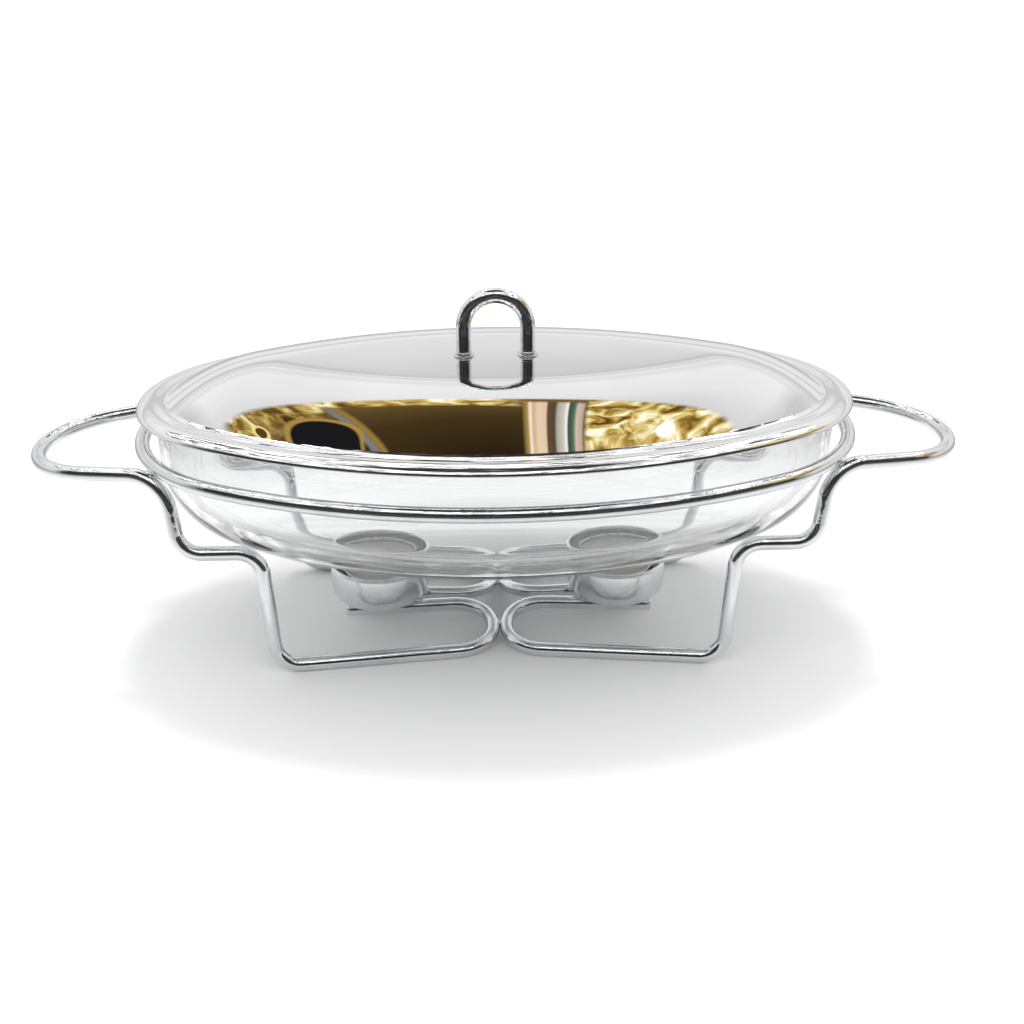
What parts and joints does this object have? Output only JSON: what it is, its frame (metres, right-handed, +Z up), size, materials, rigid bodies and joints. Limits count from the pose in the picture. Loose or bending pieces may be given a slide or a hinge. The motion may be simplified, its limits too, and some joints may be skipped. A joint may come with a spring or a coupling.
{
  "type": "chafing dish food warmer",
  "caption": "Oval glass dish under a domed polished lid, set in a bent-wire stand with carrying handles and candle cups that keep the food warm.",
  "frame": {"origin": "on the table, at the middle of the stand", "axes": "+X along the length towards the right handle, +Y away from the front, +Z up"},
  "size_m": [0.4588, 0.227, 0.1756],
  "materials": {
    "chrome_wire": "bright chrome plating",
    "weld": "plated weld metal",
    "cup_steel": "satin polished stainless sheet",
    "dish_glass": "clear heat-resistant glass",
    "lid_steel": "mirror-polished stainless sheet",
    "fastener_steel": "bright turned steel",
    "foil": "thin pressed aluminium",
    "wax": "white paraffin wax",
    "wick": "waxed cotton braid"
  },
  "bodies": {
    "stand": {"support_ring": "chrome_wire", "left_frame_wire": "chrome_wire", "right_frame_wire": "chrome_wire", "ring_weld_beads": "weld", "turn_weld_beads": "weld", "left_candle_cup": "cup_steel", "right_candle_cup": "cup_steel", "cup_weld_beads": "weld"},
    "dish": {"glass_dish": "dish_glass"},
    "lid": {"lid_shell": "lid_steel", "lid_handle": "chrome_wire", "lid_handle_washers": "fastener_steel", "lid_inner_washers": "fastener_steel", "lid_nuts": "fastener_steel"},
    "left_tealight": {"left_tealight_foil": "foil", "left_tealight_wax": "wax", "left_tealight_wick": "wick", "left_wick_sustainer": "fastener_steel"},
    "right_tealight": {"right_tealight_foil": "foil", "right_tealight_wax": "wax", "right_tealight_wick": "wick", "right_wick_sustainer": "fastener_steel"}
  },
  "joints": [
    {"name": "dish_lift", "type": "slide", "parent": "stand", "child": "dish", "axis": [0, 0, 1], "range_m": [0, 0.12]},
    {"name": "lid_lift", "type": "slide", "parent": "dish", "child": "lid", "axis": [0, 0, 1], "range_m": [0, 0.15]},
    {"name": "left_tealight_lift", "type": "slide", "parent": "stand", "child": "left_tealight", "axis": [0, 0, 1], "range_m": [0, 0.02]},
    {"name": "right_tealight_lift", "type": "slide", "parent": "stand", "child": "right_tealight", "axis": [0, 0, 1], "range_m": [0, 0.02]}
  ]
}
